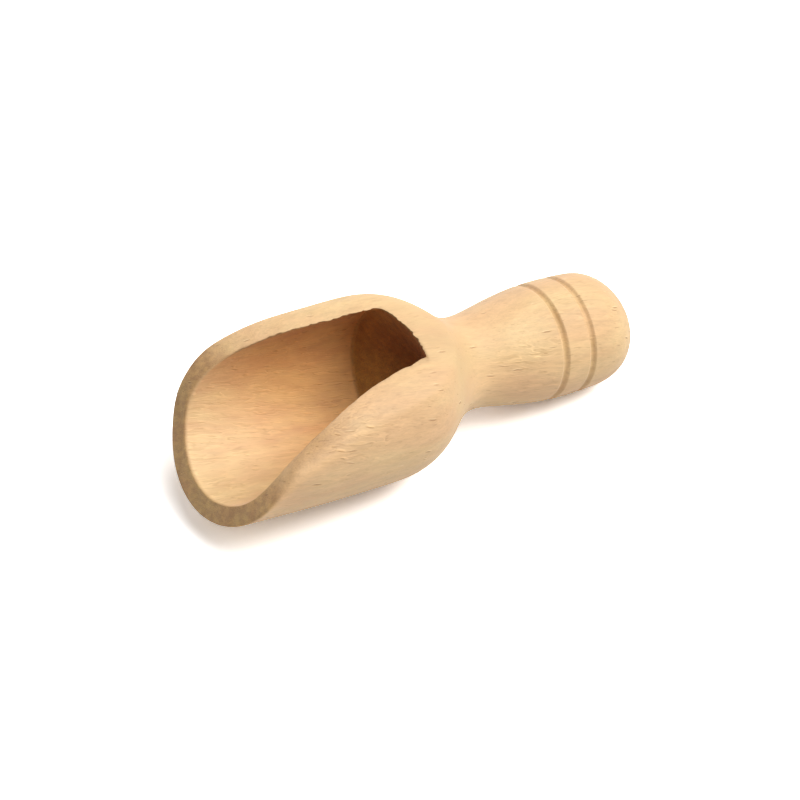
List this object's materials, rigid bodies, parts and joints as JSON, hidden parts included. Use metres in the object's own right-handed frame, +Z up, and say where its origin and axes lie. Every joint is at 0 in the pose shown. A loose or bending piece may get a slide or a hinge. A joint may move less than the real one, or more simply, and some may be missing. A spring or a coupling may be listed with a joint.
{
  "type": "wooden herb scoop",
  "caption": "Small turned wooden scoop with a bored bowl, slanted curved mouth, narrow neck and grooved bulbous handle, for herbs, salt or spice.",
  "frame": {"origin": "on the table, under the middle of the scoop's box as it lies on its belly and handle", "axes": "+X from the mouth to the handle, +Z up through the opening, +Y to the left of the handle's direction; the turning axis lies in the XZ plane and falls 8.3 degrees towards the handle"},
  "size_m": [0.082, 0.0314, 0.0257],
  "materials": {
    "wood": "raw sanded beech-like wood, matt, long grain along the axis, end grain at the lip and butt"
  },
  "bodies": {
    "root": {"bowl": "wood", "handle": "wood"}
  },
  "joints": []
}
